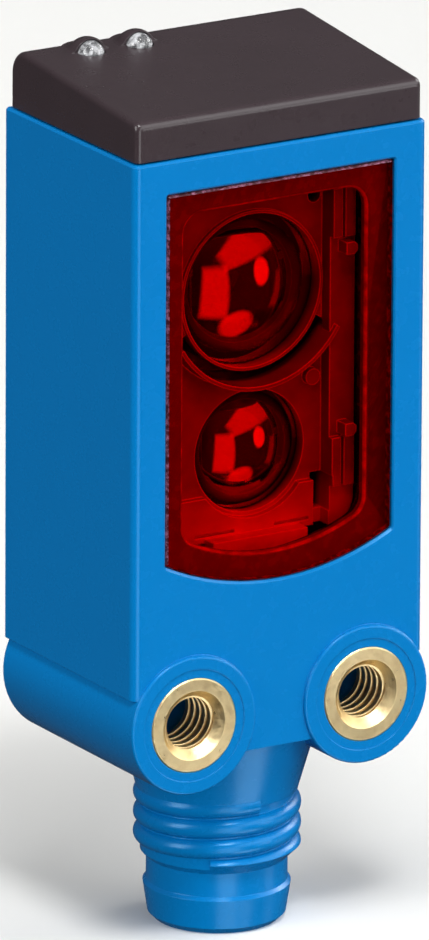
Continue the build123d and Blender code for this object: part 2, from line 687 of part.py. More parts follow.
def light_tunnel(z, lens_radius, end_radius, chamber_half, chamber_front):
    """Lens seat, narrowing tunnel and square chamber behind it, cut through the carrier."""
    way = rod_y(0, z, lens_radius + LENS_GAP, PLATE_Y - PAST, LENS_SEAT_Y)
    way += cone_y(0, z, lens_radius - TUNNEL_STEP, end_radius, LENS_SEAT_Y, chamber_front)
    half = chamber_half
    return way + block((-half, half), (chamber_front, CARRIER_BACK + PAST), (z - half, z + half))


def optics_carrier():
    """Moulded frame: two light tunnels, lens seats, screen, shelf, pillar and clips."""
    frame = slab(carrier_outline(FRAME_HALF, FRAME_CORNER_R), PLATE_Y, CARRIER_BACK)
    frame += lens_rim()
    frame += light_screen()
    frame += shelf()
    frame += pillar()
    for z in CARRIER_LUGS:
        frame += block((-LUG_HALF, LUG_HALF), (FRONT_WALL_Y, LENS_SEAT_Y), z)
    frame -= screen_trench()
    frame -= block(POCKET_X, (SHELF_FRONT - PAST, POCKET_BACK), POCKET_Z)
    frame -= rod_y(GATE_X, GATE_Z, GATE_R, PLATE_Y - PAST, LENS_SEAT_Y)
    frame += rod_y(PEG_X, PEG_Z, PEG_R, SHELF_FRONT, PLATE_Y + BITE)
    frame -= light_tunnel(RECEIVER_Z, RECEIVER_LENS_R, TUNNEL_END_R, CHAMBER_HALF, CHAMBER_Y)
    frame -= light_tunnel(EMITTER_Z, EMITTER_LENS_R, EMITTER_TUNNEL_END_R, EMITTER_CHAMBER_HALF,
                          EMITTER_CHAMBER_Y)
    return frame


def receiver_aperture():
    """Thin mask with a round hole, in front of the receiver's shield."""
    size = 2 * (CHAMBER_HALF - LENS_GAP)
    mask = block(around(0, size), (CHAMBER_Y, CHAMBER_Y + APERTURE_T), around(RECEIVER_Z, size))
    return mask - rod_y(0, RECEIVER_Z, APERTURE_R, CHAMBER_Y - PAST, CHAMBER_Y + PAST)


def receiver_shield():
    """Sheet-metal can over the receiver chip, open to the front through a round hole."""
    size = 2 * (CHAMBER_HALF - LENS_GAP)
    front = CHAMBER_Y + APERTURE_T
    can = block(around(0, size), (front, CARRIER_BACK), around(RECEIVER_Z, size))
    inner = size - 2 * SHIELD_T
    can -= block(around(0, inner), (front + SHIELD_T, CARRIER_BACK + PAST), around(RECEIVER_Z, inner))
    return can - rod_y(0, RECEIVER_Z, SHIELD_HOLE_R, CHAMBER_Y, front + PAST)


# ---- electronics ---------------------------------------------------------------------

def chip_body(x, z, back, size):
    """Chip package (width, thickness, height) whose back lies on a board's front face."""
    body = block(around(x, size[0]), (back - size[1], back), around(z, size[2]))
    return chamfer(body.edges().filter_by(Axis.Y), CHIP_EDGE)


def receiver_chip():
    """Photodiode chip with a raised square over its light-sensitive area."""
    body = chip_body(0, RECEIVER_Z, CARRIER_BACK, RECEIVER_CHIP_SIZE)
    front = CARRIER_BACK - RECEIVER_CHIP_SIZE[1]
    half = RECEIVER_DIE_HALF
    return body + block((-half, half), (front - RECEIVER_DIE_RISE, front + BITE),
                        (RECEIVER_Z - half, RECEIVER_Z + half))


def emitter_led():
    """Surface-mount light source with its own small dome."""
    body = chip_body(0, EMITTER_Z, CARRIER_BACK, EMITTER_SIZE)
    front = CARRIER_BACK - EMITTER_SIZE[1]
    dome = Pos(0, front, EMITTER_Z) * Sphere(EMITTER_DOME_BALL)
    reach = block(around(0, 2), (front - PAST, front + BITE), around(EMITTER_Z, 2))
    return body + (dome & reach)


def circuit_board(half, front, z, corner_radius):
    """Upright circuit board with rounded corners."""
    board = block((-half, half), (front, front + BOARD_T), z)
    return fillet(board.edges().filter_by(Axis.Y), corner_radius)


def optics_board():
    """Circuit board on the carrier's back, behind both lenses."""
    return circuit_board(OPTICS_BOARD_HALF, CARRIER_BACK, OPTICS_BOARD_Z, OPTICS_BOARD_CORNER_R)


def main_board():
    """Main circuit board, held in the guide rails along the back wall."""
    return circuit_board(MAIN_BOARD_HALF, MAIN_BOARD_Y, MAIN_BOARD_Z, MAIN_BOARD_CORNER_R)


def flex_link():
    """Foil between the tops of the two boards, bent over in a half circle."""
    front = CARRIER_BACK + BOARD_T
    outer_r = (MAIN_BOARD_Y - front) / 2
    inner_r = outer_r - FLEX_T
    middle = front + outer_r
    wide = (FLEX_X[0] - PAST, FLEX_X[1] + PAST)
    link = rod_x(middle, FLEX_BEND_Z, outer_r, FLEX_X)
    link += block(FLEX_X, (front, MAIN_BOARD_Y), (FLEX_FOOT_Z, FLEX_BEND_Z))
    link -= rod_x(middle, FLEX_BEND_Z, inner_r, wide)
    return link - block(wide, around(middle, 2 * inner_r), (FLEX_FOOT_Z - PAST, FLEX_BEND_Z))


def bent_leads(x, z, width, count, pitch):
    """Two rows of bent leads along a chip's left and right sides."""
    leads = []
    first = z - pitch * (count - 1) / 2
    top = MAIN_BOARD_Y - LEAD_HEIGHT
    for side in (-1, 1):
        end = side * (width / 2 + LEAD_REACH)
        arm = sorted((x + side * (width / 2 - BITE), x + end))
        foot = sorted((x + end - side * 2 * LEAD_T, x + end))
        for index in range(count):
            height = around(first + index * pitch, LEAD_WIDTH)
            leads.append(block(arm, (top, top + LEAD_T), height))
            leads.append(block(foot, (top, MAIN_BOARD_Y), height))
    return leads


def leaded_chip(place, size, lead_count, pitch):
    """Chip with leads, standing on the main board's front face."""
    x, z = place
    width, height = size
    body = chip_body(x, z, MAIN_BOARD_Y - BITE / 2, (width, CHIP_T, height))
    for lead in bent_leads(x, z, width, lead_count, pitch):
        body += lead
    return body


def controller_chip():
    """Flat square controller without leads, with a dimple that marks its first contact."""
    x, z = CONTROLLER_PLACE
    body = chip_body(x, z, MAIN_BOARD_Y, (CONTROLLER_SIZE, CHIP_T, CONTROLLER_SIZE))
    corner = CONTROLLER_SIZE / 2 - PIN_ONE_MARK_INSET
    front = MAIN_BOARD_Y - CHIP_T
    return body - rod_y(x - corner, z + corner, PIN_ONE_MARK_R, front - PAST, front + PIN_ONE_MARK_DEPTH)


def board_capacitors():
    """Small two-ended capacitors on the main board."""
    places = [(x, z) for x in CAPACITOR_COLUMNS for z in CAPACITOR_ROWS]
    places += [(FILTER_COLUMN, z) for z in FILTER_ROWS]
    width, thickness, height = CAPACITOR_SIZE
    depth = (MAIN_BOARD_Y - thickness, MAIN_BOARD_Y)
    return Compound([block(around(x, width), depth, around(z, height)) for x, z in places])


def indicator_led(x):
    """Upward-facing LED under a light pipe, soldered to the main board's front face."""
    width, thickness, height = INDICATOR_SIZE
    lens_width, lens_thickness, lens_rise = INDICATOR_LENS
    lens_top = PIPE_BOTTOM - INDICATOR_GAP
    top = lens_top - lens_rise
    middle = MAIN_BOARD_Y - thickness / 2
    body = block(around(x, width), around(middle, thickness), (top - height, top))
    return body + block(around(x, lens_width), around(middle, lens_thickness), (top - BITE, lens_top))


def connector_board():
    """Small board soldered to the tails of the contacts."""
    top = CONNECTOR_BOARD_Z + CONNECTOR_BOARD_T
    board = rounded_block((-CONNECTOR_BOARD_HALF, CONNECTOR_BOARD_HALF), CONNECTOR_BOARD_Y,
                          (CONNECTOR_BOARD_Z, top), CONNECTOR_BOARD_CORNER_R)
    for x, y in PIN_PLACES:
        board -= rod_z(x, PLUG_Y + y, PIN_TAIL_R, CONNECTOR_BOARD_Z - PAST, top + PAST)
    return board


def lead_wires():
    """Four short wires that bend from the connector board back to the main board."""
    z = CONNECTOR_BOARD_Z + CONNECTOR_BOARD_T
    y = CONNECTOR_BOARD_Y[1] - WIRE_INSET
    wires = []
    for x in WIRE_X:
        route = FilletPolyline((x, y, z), (x, y, z + WIRE_RISE), (x, MAIN_BOARD_Y, z + WIRE_RISE),
                               radius=WIRE_BEND_R)
        wires.append(sweep(Pos(x, y, z) * Circle(WIRE_R), path=route))
    return Compound(wires)


# ---- contacts ------------------------------------------------------------------------

def contact_pin(place):
    """Turned contact: rounded tip, full-width working length and a thinner tail."""
    x, y = place
    pin = rod_z(x, PLUG_Y + y, PIN_R, PIN_TIP, PIN_SHOULDER)
    pin = fillet(pin.edges().group_by(Axis.Z)[0], PIN_TIP_R)
    return pin + rod_z(x, PLUG_Y + y, PIN_TAIL_R, PIN_SHOULDER, PIN_TAIL_TOP)


def contact_carrier():
    """Insulating body pressed into the plug, with a groove for its sealing ring."""
    body = rod_z(0, PLUG_Y, FLANGE_R, PIN_SHOULDER, SOCKET_TOP)
    body = chamfer(body.edges(), FLANGE_CHAMFER)
    body += rod_z(0, PLUG_Y, STEM_R, SOCKET_TOP - BITE, CONNECTOR_BOARD_Z)
    groove = rod_z(0, PLUG_Y, FLANGE_R + PAST, SEAL_Z - SEAL_R, SEAL_Z + SEAL_R)
    body -= groove - rod_z(0, PLUG_Y, SOCKET_R - 2 * SEAL_R, SEAL_Z - PAST, SEAL_Z + PAST)
    for x, y in PIN_PLACES:
        body -= rod_z(x, PLUG_Y + y, PIN_TAIL_R, PIN_SHOULDER - PAST, CONNECTOR_BOARD_Z + PAST)
    return body


def contact_seal():
    """Sealing ring between the contact carrier and the plug's bore."""
    return Pos(0, PLUG_Y, SEAL_Z) * Torus(SOCKET_R - SEAL_R, SEAL_R)


# ---- all pieces ----------------------------------------------------------------------

PIECES = {
    "housing": housing(),
    "top_cover": top_cover(),
    "cover_gasket": cover_gasket(),
    "left_light_pipe": light_pipe(LIGHT_X[0]),
    "right_light_pipe": light_pipe(LIGHT_X[1]),
    "front_window": front_window(),
    "window_seal": window_seal(),
    "optics_carrier": optics_carrier(),
    "receiver_lens": domed_lens(RECEIVER_Z, RECEIVER_LENS_R, RECEIVER_DOME_R),
    "emitter_lens": domed_lens(EMITTER_Z, EMITTER_LENS_R, EMITTER_DOME_R),
    "receiver_aperture": receiver_aperture(),
    "receiver_shield": receiver_shield(),
    "receiver_chip": receiver_chip(),
    "emitter_led": emitter_led(),
    "optics_board": optics_board(),
    "main_board": main_board(),
    "flex_link": flex_link(),
    "controller_chip": controller_chip(),
    "output_driver": leaded_chip(DRIVER_PLACE, DRIVER_SIZE, DRIVER_LEADS, DRIVER_PITCH),
    "voltage_regulator": leaded_chip(REGULATOR_PLACE, REGULATOR_SIZE, REGULATOR_LEADS,
                                     REGULATOR_PITCH),
    "board_capacitors": board_capacitors(),
    "left_indicator_led": indicator_led(LIGHT_X[0]),
    "right_indicator_led": indicator_led(LIGHT_X[1]),
    "connector_board": connector_board(),
    "lead_wires": lead_wires(),
    "contact_carrier": contact_carrier(),
    "contact_seal": contact_seal(),
    "left_thread_insert": thread_insert(-1),
    "right_thread_insert": thread_insert(1),
}
for number, place in enumerate(PIN_PLACES, start=1):
    PIECES[f"contact_pin_{number}"] = contact_pin(place)

os.makedirs("parts", exist_ok=True)
for name, piece in PIECES.items():
    export_step(piece, f"parts/{name}.step")
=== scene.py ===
import json
from math import cos, radians, sin, tan

import bpy
from mathutils import Matrix, Vector


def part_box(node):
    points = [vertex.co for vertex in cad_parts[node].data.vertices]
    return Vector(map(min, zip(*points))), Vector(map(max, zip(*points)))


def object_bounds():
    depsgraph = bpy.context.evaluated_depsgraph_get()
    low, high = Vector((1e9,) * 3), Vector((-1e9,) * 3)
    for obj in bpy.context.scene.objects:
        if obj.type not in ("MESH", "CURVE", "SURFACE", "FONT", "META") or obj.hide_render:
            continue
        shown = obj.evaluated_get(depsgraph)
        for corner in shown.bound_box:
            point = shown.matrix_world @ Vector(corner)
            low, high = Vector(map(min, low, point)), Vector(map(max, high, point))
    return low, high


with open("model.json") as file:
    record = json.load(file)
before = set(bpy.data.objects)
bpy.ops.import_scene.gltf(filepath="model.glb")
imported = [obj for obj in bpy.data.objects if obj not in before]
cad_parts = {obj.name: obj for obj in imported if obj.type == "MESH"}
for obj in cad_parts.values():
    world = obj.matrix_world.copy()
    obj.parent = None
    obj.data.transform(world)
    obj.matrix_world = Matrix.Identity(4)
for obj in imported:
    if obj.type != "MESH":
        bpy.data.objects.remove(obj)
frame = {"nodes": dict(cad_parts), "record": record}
cad_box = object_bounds()

MM = 0.001

# ---- camera ----------------------------------------------------------------------------
VIEW_AZIMUTH = -31.42
VIEW_ELEVATION = 17.21
VIEW_ROLL = 0.32
VIEW_DISTANCE = 816.8 * MM
VIEW_LENS = 662.6
SENSOR = 36.0
AIM_OFFSET = Vector((0.05, 0.13, 0.46)) * MM    # from the middle of the sensor's box

# ---- studio ----------------------------------------------------------------------------
FLOOR_HALF = 3.0            # half the floor's side, in metres
FLOOR_COLOUR = (0.88, 0.88, 0.86)
WORLD_HIGH = 0.17           # brightness of the room overhead, as reflected and as fill light
WORLD_LOW = 0.05            # and below WORLD_LOW_Z
WORLD_LOW_Z = 0.2           # the brightness rises between these heights of a direction
WORLD_HIGH_Z = 0.8

# Large bright panels of the studio, painted on the room: azimuth, elevation, half width and
# half height in degrees, brightness, and whether round.
PANELS = (
    (56.0, 33.0, 57.0, 17.0, 2.4, False),
    (-14.0, -14.0, 14.0, 27.0, 2.7, False),
    (38.0, 1.0, 9.0, 12.0, 4.0, True),
    (20.0, -48.0, 15.0, 14.0, 3.0, True),
    (64.0, -17.0, 8.0, 13.0, 0.9, False),
    (95.0, 25.0, 9.0, 9.0, 6.0, True),
    (-18.0, 58.0, 7.0, 5.0, 30.0, True),
)
PANEL_BLUR = 0.16           # softness of a panel's edge, as a share of its size

# Each soft box: name, azimuth, elevation, distance, width, height, strength in watts.
LIGHTS = (
    ("left", -88.0, 20.0, 0.60, 0.24, 0.40, 2.0),
    ("overhead", -28.0, 64.0, 0.60, 0.22, 0.12, 0.9),
)

# ---- colours (linear) and finishes -----------------------------------------------------
BLUE = (0.0, 0.195, 0.545)
BLUE_EDGE = (0.02, 0.27, 0.64)
COVER = (0.043, 0.029, 0.034)
COVER_EDGE = (0.052, 0.037, 0.042)
BLUE_SHEEN = (0.25, 0.65, 1.0)      # the blue plastic tints what it reflects
PLASTIC_COAT_ROUGHNESS = 0.16
PANE_TINT = (0.93, 0.022, 0.008)
PANE_SHEEN = (0.9, 0.05, 0.05)
PANE_IOR = 1.35
PANE_GLOSS = 0.25           # share of its reflection that the pane keeps
GLINT_SIDE = (-0.707, 0.0, 0.707)     # bevels facing this side get the painted glint of the pane's matt cut edge
CUT_DARK = (0.05, 0.002, 0.006)
# painted glint: pale speckles on the pane's cut edge
CUT_GLINT = (0.55, 0.20, 0.32)
SEAL_DARK = (0.11, 0.10, 0.10)
SEAL_PALE = (0.20, 0.18, 0.18)
# painted highlight along the curved lip of the window seal
SEAL_LIP_HIGHLIGHT = (0.80, 0.76, 0.74)
# painted highlight on the optics carrier's rims
CARRIER_RIM_HIGHLIGHT = (0.98, 0.93, 0.93)
CARRIER_FOOT_LIT_LEVEL = 0.95   # grey level of the optics carrier at its foot, raised there as painted light
CARRIER_LEVEL = 0.26        # and higher up, above the painted light of the foot
FOOT_LIGHT_HEIGHT = 4.0           # height over which that painted light fades, in mm
CARRIER_DEPTH = 4.6         # of the optics carrier behind its front plate, in mm
SHADED_FROM = 0.1        # how far behind that plate painted shade starts, then turns it black, in mm
SHADED_TO = 0.6
LENS_BODY = (0.16, 0.15, 0.15)
LENS_IOR = 1.49
LENS_COAT = 0.28            # share of light that the coated lens surface throws back
BRASS = (1.0, 0.80, 0.44)
BRASS_DARK = (0.66, 0.42, 0.17)


# ---- node helpers ----------------------------------------------------------------------

def node(tree, kind, inputs=None, **settings):
    """A shader node with its settings; an input may be a value or another node's socket."""
    made = tree.nodes.new(kind)
    for name, value in settings.items():
        setattr(made, name, value)
    for name, value in (inputs or {}).items():
        if isinstance(value, bpy.types.NodeSocket):
            tree.links.new(value, made.inputs[name])
        else:
            made.inputs[name].default_value = value
    return made


def new_tree(name):
    """An empty material and its node tree."""
    material = bpy.data.materials.new(name)
    material.use_nodes = True
    material.node_tree.nodes.clear()
    return material, material.node_tree


def millimetres(tree):
    """Object coordinates in millimetres."""
    place = node(tree, "ShaderNodeTexCoord").outputs["Object"]
    scaled = node(tree, "ShaderNodeVectorMath", {0: place, "Scale": 1 / MM}, operation="SCALE")
    return scaled.outputs["Vector"]


def noise(tree, place, per_mm, detail=3.0, roughness=0.5):
    """Noise between 0 and 1, with the given number of features per millimetre."""
    made = node(tree, "ShaderNodeTexNoise", {"Vector": place, "Scale": per_mm, "Detail": detail,
                                             "Roughness": roughness})
    return made.outputs["Fac"]


def remap(tree, value, low, high, new_low, new_high):
    """Linear remap of a value, clamped at both ends."""
    made = node(tree, "ShaderNodeMapRange", {"Value": value, "From Min": low, "From Max": high,
                                             "To Min": new_low, "To Max": new_high})
    return made.outputs["Result"]


def maths(tree, operation, first, second=0.0):
    """One arithmetic step; a step on one value leaves the second out."""
    return node(tree, "ShaderNodeMath", {0: first, 1: second}, operation=operation).outputs[0]


def along(tree, ray, axis):
    """How far a direction points along an axis."""
    return node(tree, "ShaderNodeVectorMath", {0: ray, 1: axis},
                operation="DOT_PRODUCT").outputs["Value"]


def mix_colour(tree, share, first, second):
    """Blend of two colours, each an RGB tuple or a socket."""
    made = node(tree, "ShaderNodeMix", data_type="RGBA")
    for index, value in ((0, share), (6, first), (7, second)):
        if isinstance(value, bpy.types.NodeSocket):
            tree.links.new(value, made.inputs[index])
        elif index == 0:
            made.inputs[index].default_value = value
        else:
            made.inputs[index].default_value = (*value, 1.0)
    return made.outputs[2]


def soft_normal(tree, radius):
    """Surface normal with edges rounded over a radius in millimetres."""
    return node(tree, "ShaderNodeBevel", {"Radius": radius * MM}, samples=6).outputs["Normal"]


def edge_mask(tree, normal, gain=3.0):
    """0 on flat surfaces, rising to 1 where the rounded normal leaves the true one."""
    true_normal = node(tree, "ShaderNodeNewGeometry").outputs["Normal"]
    away = maths(tree, "SUBTRACT", 1.0, along(tree, normal, true_normal))
    return remap(tree, maths(tree, "MULTIPLY", away, gain), 0.0, 1.0, 0.0, 1.0)


def bump(tree, height, depth, normal=None, strength=1.0):
    """Bumped normal from a height between 0 and 1, with a depth in millimetres."""
    inputs = {"Height": height, "Distance": depth * MM, "Strength": strength}
    if normal is not None:
        inputs["Normal"] = normal
    return node(tree, "ShaderNodeBump", inputs).outputs["Normal"]


def finish_surface(material, tree, shader):
    """Connects a shader to the material's output."""
    node(tree, "ShaderNodeOutputMaterial", {"Surface": shader})
    return material


# ---- materials -------------------------------------------------------------------------

def moulded_plastic(name, colour, edge_colour, roughness, grain, grain_depth, specular=0.5,
                    sheen=(1.0, 1.0, 1.0), edge_radius=0.06, mottle=0.06, unevenness=0.05,
                    coat=0.0):
    """Moulded plastic: fine grain, faint mottling, uneven gloss and slightly rubbed edges."""
    material, tree = new_tree(name)
    place = millimetres(tree)
    normal = soft_normal(tree, edge_radius)
    edges = edge_mask(tree, normal)
    cloud = noise(tree, place, 0.35, 4.0)
    fine = noise(tree, place, grain, 4.0, 0.65)
    darker = tuple(value * (1.0 - mottle) for value in colour)
    lighter = tuple(value * (1.0 + mottle) for value in colour)
    base = mix_colour(tree, cloud, darker, lighter)
    wear = maths(tree, "MULTIPLY", edges, remap(tree, noise(tree, place, 2.5), 0.3, 0.7, 0.3, 0.8))
    base = mix_colour(tree, wear, base, edge_colour)
    rough = remap(tree, noise(tree, place, 1.1, 5.0), 0.3, 0.7, roughness - unevenness,
                  roughness + unevenness)
    shader = node(tree, "ShaderNodeBsdfPrincipled", {
        "Base Color": base, "Roughness": rough, "Specular IOR Level": specular,
        "Specular Tint": (*sheen, 1.0), "Normal": bump(tree, fine, grain_depth, normal),
        "Coat Weight": coat, "Coat Roughness": PLASTIC_COAT_ROUGHNESS, "Coat Normal": normal})
    return finish_surface(material, tree, shader.outputs[0])


def blue_plastic():
    """The housing's satin blue."""
    return moulded_plastic("blue_plastic", BLUE, BLUE_EDGE, 0.27, 9.0, 0.006,
                           sheen=BLUE_SHEEN, edge_radius=0.05, mottle=0.02,
                           unevenness=0.015, coat=0.12)


def cover_plastic():
    """The cover's dark satin plastic, with a fine spark-eroded texture."""
    return moulded_plastic("cover_plastic", COVER, COVER_EDGE, 0.30, 14.0, 0.010, specular=0.3,
                           mottle=0.12, edge_radius=0.04, coat=0.5)


def carrier_plastic():
    """Optics carrier: smooth, with painted light at its foot, painted shade deepening behind its
    front plate and painted highlights on its rims.
    """
    material, tree = new_tree("carrier_plastic")
    place = millimetres(tree)
    low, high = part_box("optics_carrier")
    plate = high.y / MM - CARRIER_DEPTH
    foot = low.z / MM
    spot = node(tree, "ShaderNodeSeparateXYZ", {0: place}).outputs
    # painted light: the carrier's foot is palest, fading upwards
    foot_light = remap(tree, spot["Z"], foot + 0.5, foot + FOOT_LIGHT_HEIGHT, CARRIER_FOOT_LIT_LEVEL,
                 CARRIER_LEVEL)
    # painted shade: darker with depth behind the front plate, black in the recesses
    shade = remap(tree, spot["Y"], plate + SHADED_FROM, plate + SHADED_TO, 1.0, 0.03)
    cloud = remap(tree, noise(tree, place, 0.8, 4.0), 0.3, 0.7, 0.8, 1.15)
    level = maths(tree, "MULTIPLY", maths(tree, "MULTIPLY", foot_light, shade), cloud)
    normal = soft_normal(tree, 0.10)
    # painted highlight: pale rims, faded out where the painted shade is deep
    edges = maths(tree, "MULTIPLY", edge_mask(tree, normal, 8.0), shade)
    body = node(tree, "ShaderNodeCombineXYZ", {"X": level, "Y": level, "Z": level})
    base = mix_colour(tree, edges, body.outputs[0], CARRIER_RIM_HIGHLIGHT)
    grain = noise(tree, place, 6.0, 4.0)
    shader = node(tree, "ShaderNodeBsdfPrincipled", {
        "Base Color": base, "Roughness": remap(tree, grain, 0.3, 0.7, 0.16, 0.26),
        "Normal": bump(tree, grain, 0.004, normal)})
    return finish_surface(material, tree, shader.outputs[0])


def insulator_plastic():
    """Dark plastic of the contact carrier."""
    return moulded_plastic("insulator_plastic", (0.02, 0.02, 0.022), (0.05, 0.05, 0.055), 0.45,
                           8.0, 0.006)


def seal_rubber():
    """Soft black rubber with a dusty grain."""
    return moulded_plastic("seal_rubber", (0.018, 0.018, 0.018), (0.04, 0.04, 0.04), 0.7, 12.0,
                           0.012, specular=0.3)


def window_seal_bead():
    """Grey adhesive bead, slightly uneven, with a painted highlight where its lip curves over."""
    material, tree = new_tree("window_seal_bead")
    place = millimetres(tree)
    true_normal = node(tree, "ShaderNodeNewGeometry").outputs["Normal"]
    facing = maths(tree, "ABSOLUTE", along(tree, true_normal, (0.0, 1.0, 0.0)))
    curved = maths(tree, "MULTIPLY", remap(tree, facing, 0.86, 0.98, 1.0, 0.0),
                   remap(tree, facing, 0.10, 0.35, 0.0, 1.0))
    lumps = noise(tree, place, 1.6, 4.0)
    body = mix_colour(tree, lumps, SEAL_DARK, SEAL_PALE)
    # painted highlight: pale where the lip curves over, broken up by the lumps
    lip_highlight = maths(tree, "MULTIPLY", curved, remap(tree, lumps, 0.35, 0.65, 0.25, 0.9))
    base = mix_colour(tree, lip_highlight, body, SEAL_LIP_HIGHLIGHT)
    shader = node(tree, "ShaderNodeBsdfPrincipled", {
        "Base Color": base, "Roughness": remap(tree, lumps, 0.3, 0.7, 0.18, 0.32),
        "Normal": bump(tree, lumps, 0.03)})
    return finish_surface(material, tree, shader.outputs[0])


def chip_plastic():
    """Moulded chip package."""
    return moulded_plastic("chip_plastic", (0.03, 0.03, 0.032), (0.08, 0.08, 0.08), 0.55, 16.0,
                           0.008)


def wire_plastic():
    """Grey wire insulation."""
    return moulded_plastic("wire_plastic", (0.42, 0.42, 0.40), (0.5, 0.5, 0.48), 0.4, 5.0, 0.004)


def led_plastic():
    """Cream-coloured moulded LED package."""
    return moulded_plastic("led_plastic", (0.75, 0.72, 0.55), (0.85, 0.82, 0.7), 0.3, 6.0, 0.004)


def turned_metal(name, colour, dark, roughness, rings_per_mm, ring_depth):
    """Machined metal: turning rings about Y, tarnish in patches and burnished edges."""
    material, tree = new_tree(name)
    place = millimetres(tree)
    normal = soft_normal(tree, 0.03)
    edges = edge_mask(tree, normal, 2.0)
    warped = node(tree, "ShaderNodeTexWave", {"Vector": place, "Scale": rings_per_mm,
                                              "Distortion": 0.6, "Detail": 2.0},
                  wave_type="RINGS", rings_direction="Y")
    tarnish = remap(tree, noise(tree, place, 1.3, 5.0, 0.6), 0.45, 0.75, 0.0, 0.45)
    base = mix_colour(tree, tarnish, colour, dark)
    bright = tuple(min(1.0, value * 1.25) for value in colour)
    base = mix_colour(tree, edges, base, bright)
    rough = remap(tree, noise(tree, place, 4.0, 4.0), 0.3, 0.7, roughness * 0.8, roughness * 1.3)
    shader = node(tree, "ShaderNodeBsdfPrincipled", {
        "Base Color": base, "Metallic": 1.0, "Roughness": rough,
        "Normal": bump(tree, warped.outputs["Fac"], ring_depth, normal)})
    return finish_surface(material, tree, shader.outputs[0])


def brass():
    """Bright turned brass of the thread inserts."""
    return turned_metal("brass", BRASS, BRASS_DARK, 0.34, 6.0, 0.004)


def contact_gold():
    """Gold-plated contacts."""
    return turned_metal("contact_gold", (0.86, 0.62, 0.24), (0.5, 0.33, 0.12), 0.22, 5.0, 0.003)


def tinned_sheet():
    """Tinned sheet metal of the receiver's shield and mask."""
    return turned_metal("tinned_sheet", (0.70, 0.70, 0.72), (0.35, 0.35, 0.36), 0.35, 3.0, 0.004)


def red_pane():
    """Dark-red pane: tinted straight through, faintly polished, with a painted glint on the matt
    cut edge of its top and left bevels.
    """
    material, tree = new_tree("red_pane")
    place = millimetres(tree)
    cloud = noise(tree, place, 0.25, 2.0)
    deeper = tuple(value * 0.96 for value in PANE_TINT)
    tint = mix_colour(tree, cloud, PANE_TINT, deeper)
    through = node(tree, "ShaderNodeBsdfTransparent", {"Color": tint})
    ripple = bump(tree, noise(tree, place, 0.5, 2.0), 0.004)
    gloss = node(tree, "ShaderNodeBsdfGlossy", {"Color": (*PANE_SHEEN, 1.0),
                                                "Roughness": 0.06, "Normal": ripple})
    grazing = node(tree, "ShaderNodeFresnel", {"IOR": PANE_IOR, "Normal": ripple}).outputs[0]
    pane = node(tree, "ShaderNodeMixShader", {0: maths(tree, "MULTIPLY", grazing, PANE_GLOSS),
                                              1: through.outputs[0], 2: gloss.outputs[0]})
    # painted glint: only the bevels facing up and left turn pale and speckled
    true_normal = node(tree, "ShaderNodeNewGeometry").outputs["True Normal"]
    glint_share = remap(tree, along(tree, true_normal, GLINT_SIDE), 0.25, 0.45, 0.0, 0.9)
    glint_speckles = remap(tree, noise(tree, place, 3.6, 5.0, 0.75), 0.47, 0.60, 0.0, 0.8)
    cut = node(tree, "ShaderNodeBsdfPrincipled", {
        "Base Color": mix_colour(tree, glint_speckles, CUT_DARK, CUT_GLINT), "Roughness": 0.35})
    shader = node(tree, "ShaderNodeMixShader", {0: glint_share, 1: pane.outputs[0],
                                                2: cut.outputs[0]})
    return finish_surface(material, tree, shader.outputs[0])


def lens_plastic():
    """Lens that filters daylight: dark to look into, with a strong polished reflection."""
    material, tree = new_tree("lens_plastic")
    place = millimetres(tree)
    swirl = noise(tree, place, 1.2, 2.0)
    ripple = bump(tree, swirl, 0.002)
    rough = remap(tree, swirl, 0.3, 0.7, 0.02, 0.06)
    glass = node(tree, "ShaderNodeBsdfPrincipled", {
        "Base Color": (*LENS_BODY, 1.0), "Transmission Weight": 1.0, "IOR": LENS_IOR,
        "Roughness": rough, "Normal": ripple})
    coat = node(tree, "ShaderNodeBsdfGlossy", {"Color": (1.0, 0.98, 0.95, 1.0),
                                               "Roughness": rough, "Normal": ripple})
    shader = node(tree, "ShaderNodeMixShader", {0: LENS_COAT, 1: glass.outputs[0],
                                                2: coat.outputs[0]})
    return finish_surface(material, tree, shader.outputs[0])


def pipe_plastic():
    """Clear light pipe, milky inside so that its dome catches the light."""
    material, tree = new_tree("pipe_plastic")
    place = millimetres(tree)
    streaks = noise(tree, place, 2.2, 4.0, 0.7)
    clear = node(tree, "ShaderNodeBsdfPrincipled", {
        "Base Color": (0.95, 0.97, 1.0, 1.0), "Transmission Weight": 1.0, "IOR": 1.5,
        "Roughness": 0.08, "Normal": bump(tree, streaks, 0.06)})
    milky = node(tree, "ShaderNodeBsdfPrincipled", {
        "Base Color": (0.62, 0.63, 0.65, 1.0), "Roughness": 0.18, "Coat Weight": 1.0,
        "Normal": bump(tree, streaks, 0.08)})
    share = remap(tree, streaks, 0.42, 0.58, 0.15, 1.0)
    shader = node(tree, "ShaderNodeMixShader", {0: share, 1: clear.outputs[0],
                                                2: milky.outputs[0]})
    return finish_surface(material, tree, shader.outputs[0])


def circuit_board():
    """Green solder mask over faint copper tracks."""
    material, tree = new_tree("circuit_board")
    place = millimetres(tree)
    tracks = node(tree, "ShaderNodeTexBrick", {"Vector": place, "Scale": 0.9, "Mortar Size": 0.03,
                                               "Color1": (0, 0, 0, 1), "Color2": (0, 0, 0, 1),
                                               "Mortar": (1, 1, 1, 1)}).outputs["Fac"]
    mask = mix_colour(tree, noise(tree, place, 3.0, 3.0), (0.006, 0.055, 0.018),
                      (0.01, 0.08, 0.03))
    base = mix_colour(tree, tracks, mask, (0.03, 0.16, 0.06))
    shader = node(tree, "ShaderNodeBsdfPrincipled", {
        "Base Color": base, "Roughness": 0.28, "Coat Weight": 0.4,
        "Normal": bump(tree, tracks, 0.03, soft_normal(tree, 0.03))})
    return finish_surface(material, tree, shader.outputs[0])


